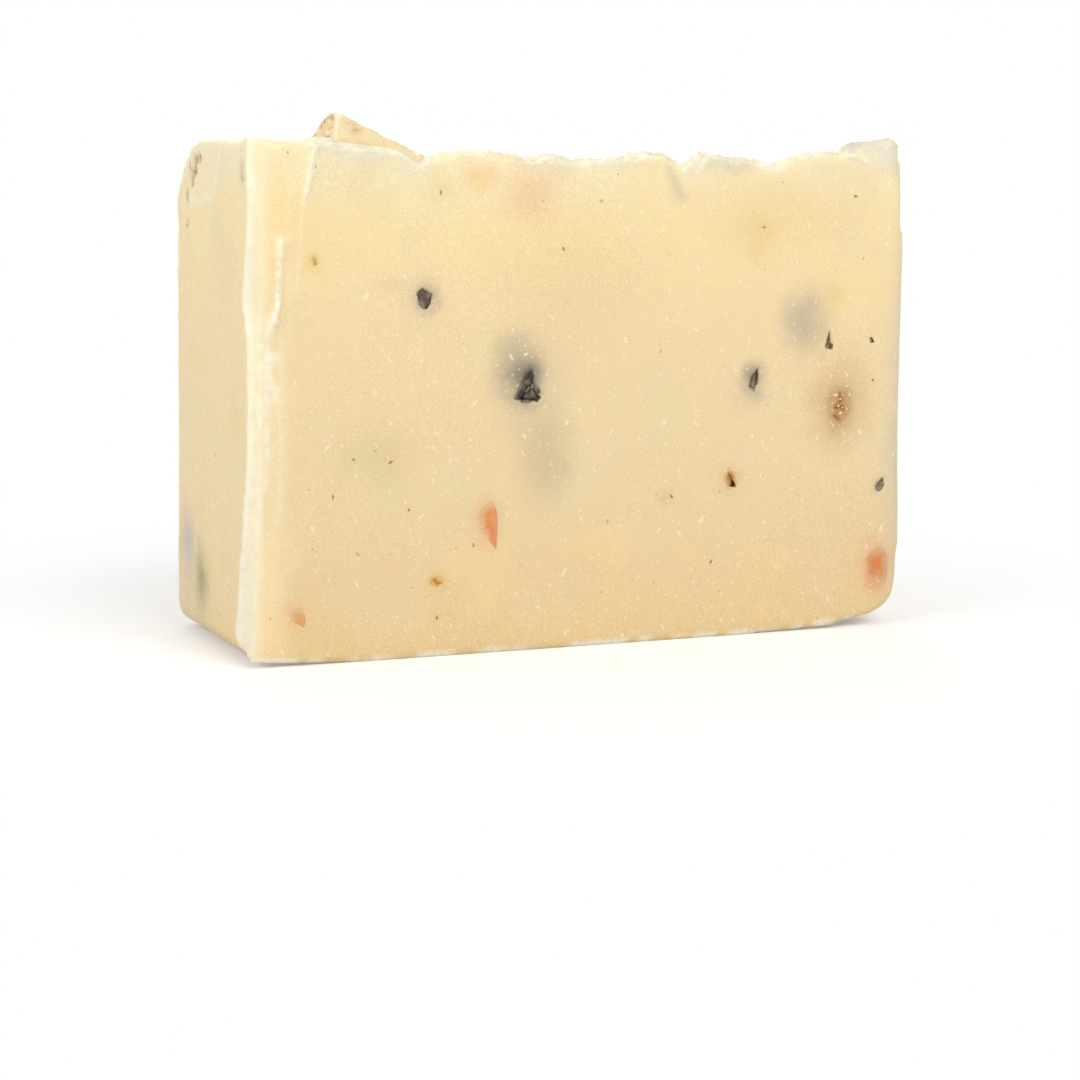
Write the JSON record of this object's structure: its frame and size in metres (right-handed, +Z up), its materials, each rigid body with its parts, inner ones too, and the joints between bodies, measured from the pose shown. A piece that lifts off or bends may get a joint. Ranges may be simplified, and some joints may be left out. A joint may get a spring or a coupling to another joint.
{
  "type": "bar of soap",
  "caption": "Hand-cut bar of soap with a folded, rough top, a chunk of soap pressed into it and chips of coloured soap showing in the cut face.",
  "frame": {"origin": "middle of the base, on the surface that the bar stands on", "axes": "+X along the bar's length, +Y through its thickness from the front cut face to the back one, +Z up to the rough top"},
  "size_m": [0.091, 0.032, 0.0674],
  "materials": {
    "soap": "waxy satin, slightly translucent",
    "chunk_soap": "waxy, dry and broken",
    "charcoal_soap": "waxy satin",
    "grey_soap": "waxy satin",
    "coral_soap": "waxy satin",
    "pink_soap": "waxy satin",
    "brown_soap": "waxy satin",
    "amber_soap": "waxy satin",
    "yellow_soap": "waxy satin",
    "olive_soap": "waxy satin",
    "seed": "dry, matt",
    "herb": "dry, matt"
  },
  "bodies": {
    "root": {"soap_block": "soap", "top_chunk": "chunk_soap", "charcoal_bit_centre": "charcoal_soap", "charcoal_bit_left": "charcoal_soap", "charcoal_bit_mid_right": "charcoal_soap", "charcoal_bit_edge": "charcoal_soap", "grey_bit_large": "grey_soap", "grey_bit_edge": "grey_soap", "grey_bit_buried": "grey_soap", "coral_bit_centre": "coral_soap", "coral_bit_corner": "coral_soap", "coral_bit_left": "coral_soap", "pink_bit_buried": "pink_soap", "orange_bit_buried": "amber_soap", "brown_bit_right": "brown_soap", "ochre_bit_low": "amber_soap", "amber_bit_upper": "amber_soap", "yellow_bit_left": "yellow_soap", "olive_bit_buried": "olive_soap", "seed": "seed", "herb_flecks": "herb"}
  },
  "joints": []
}
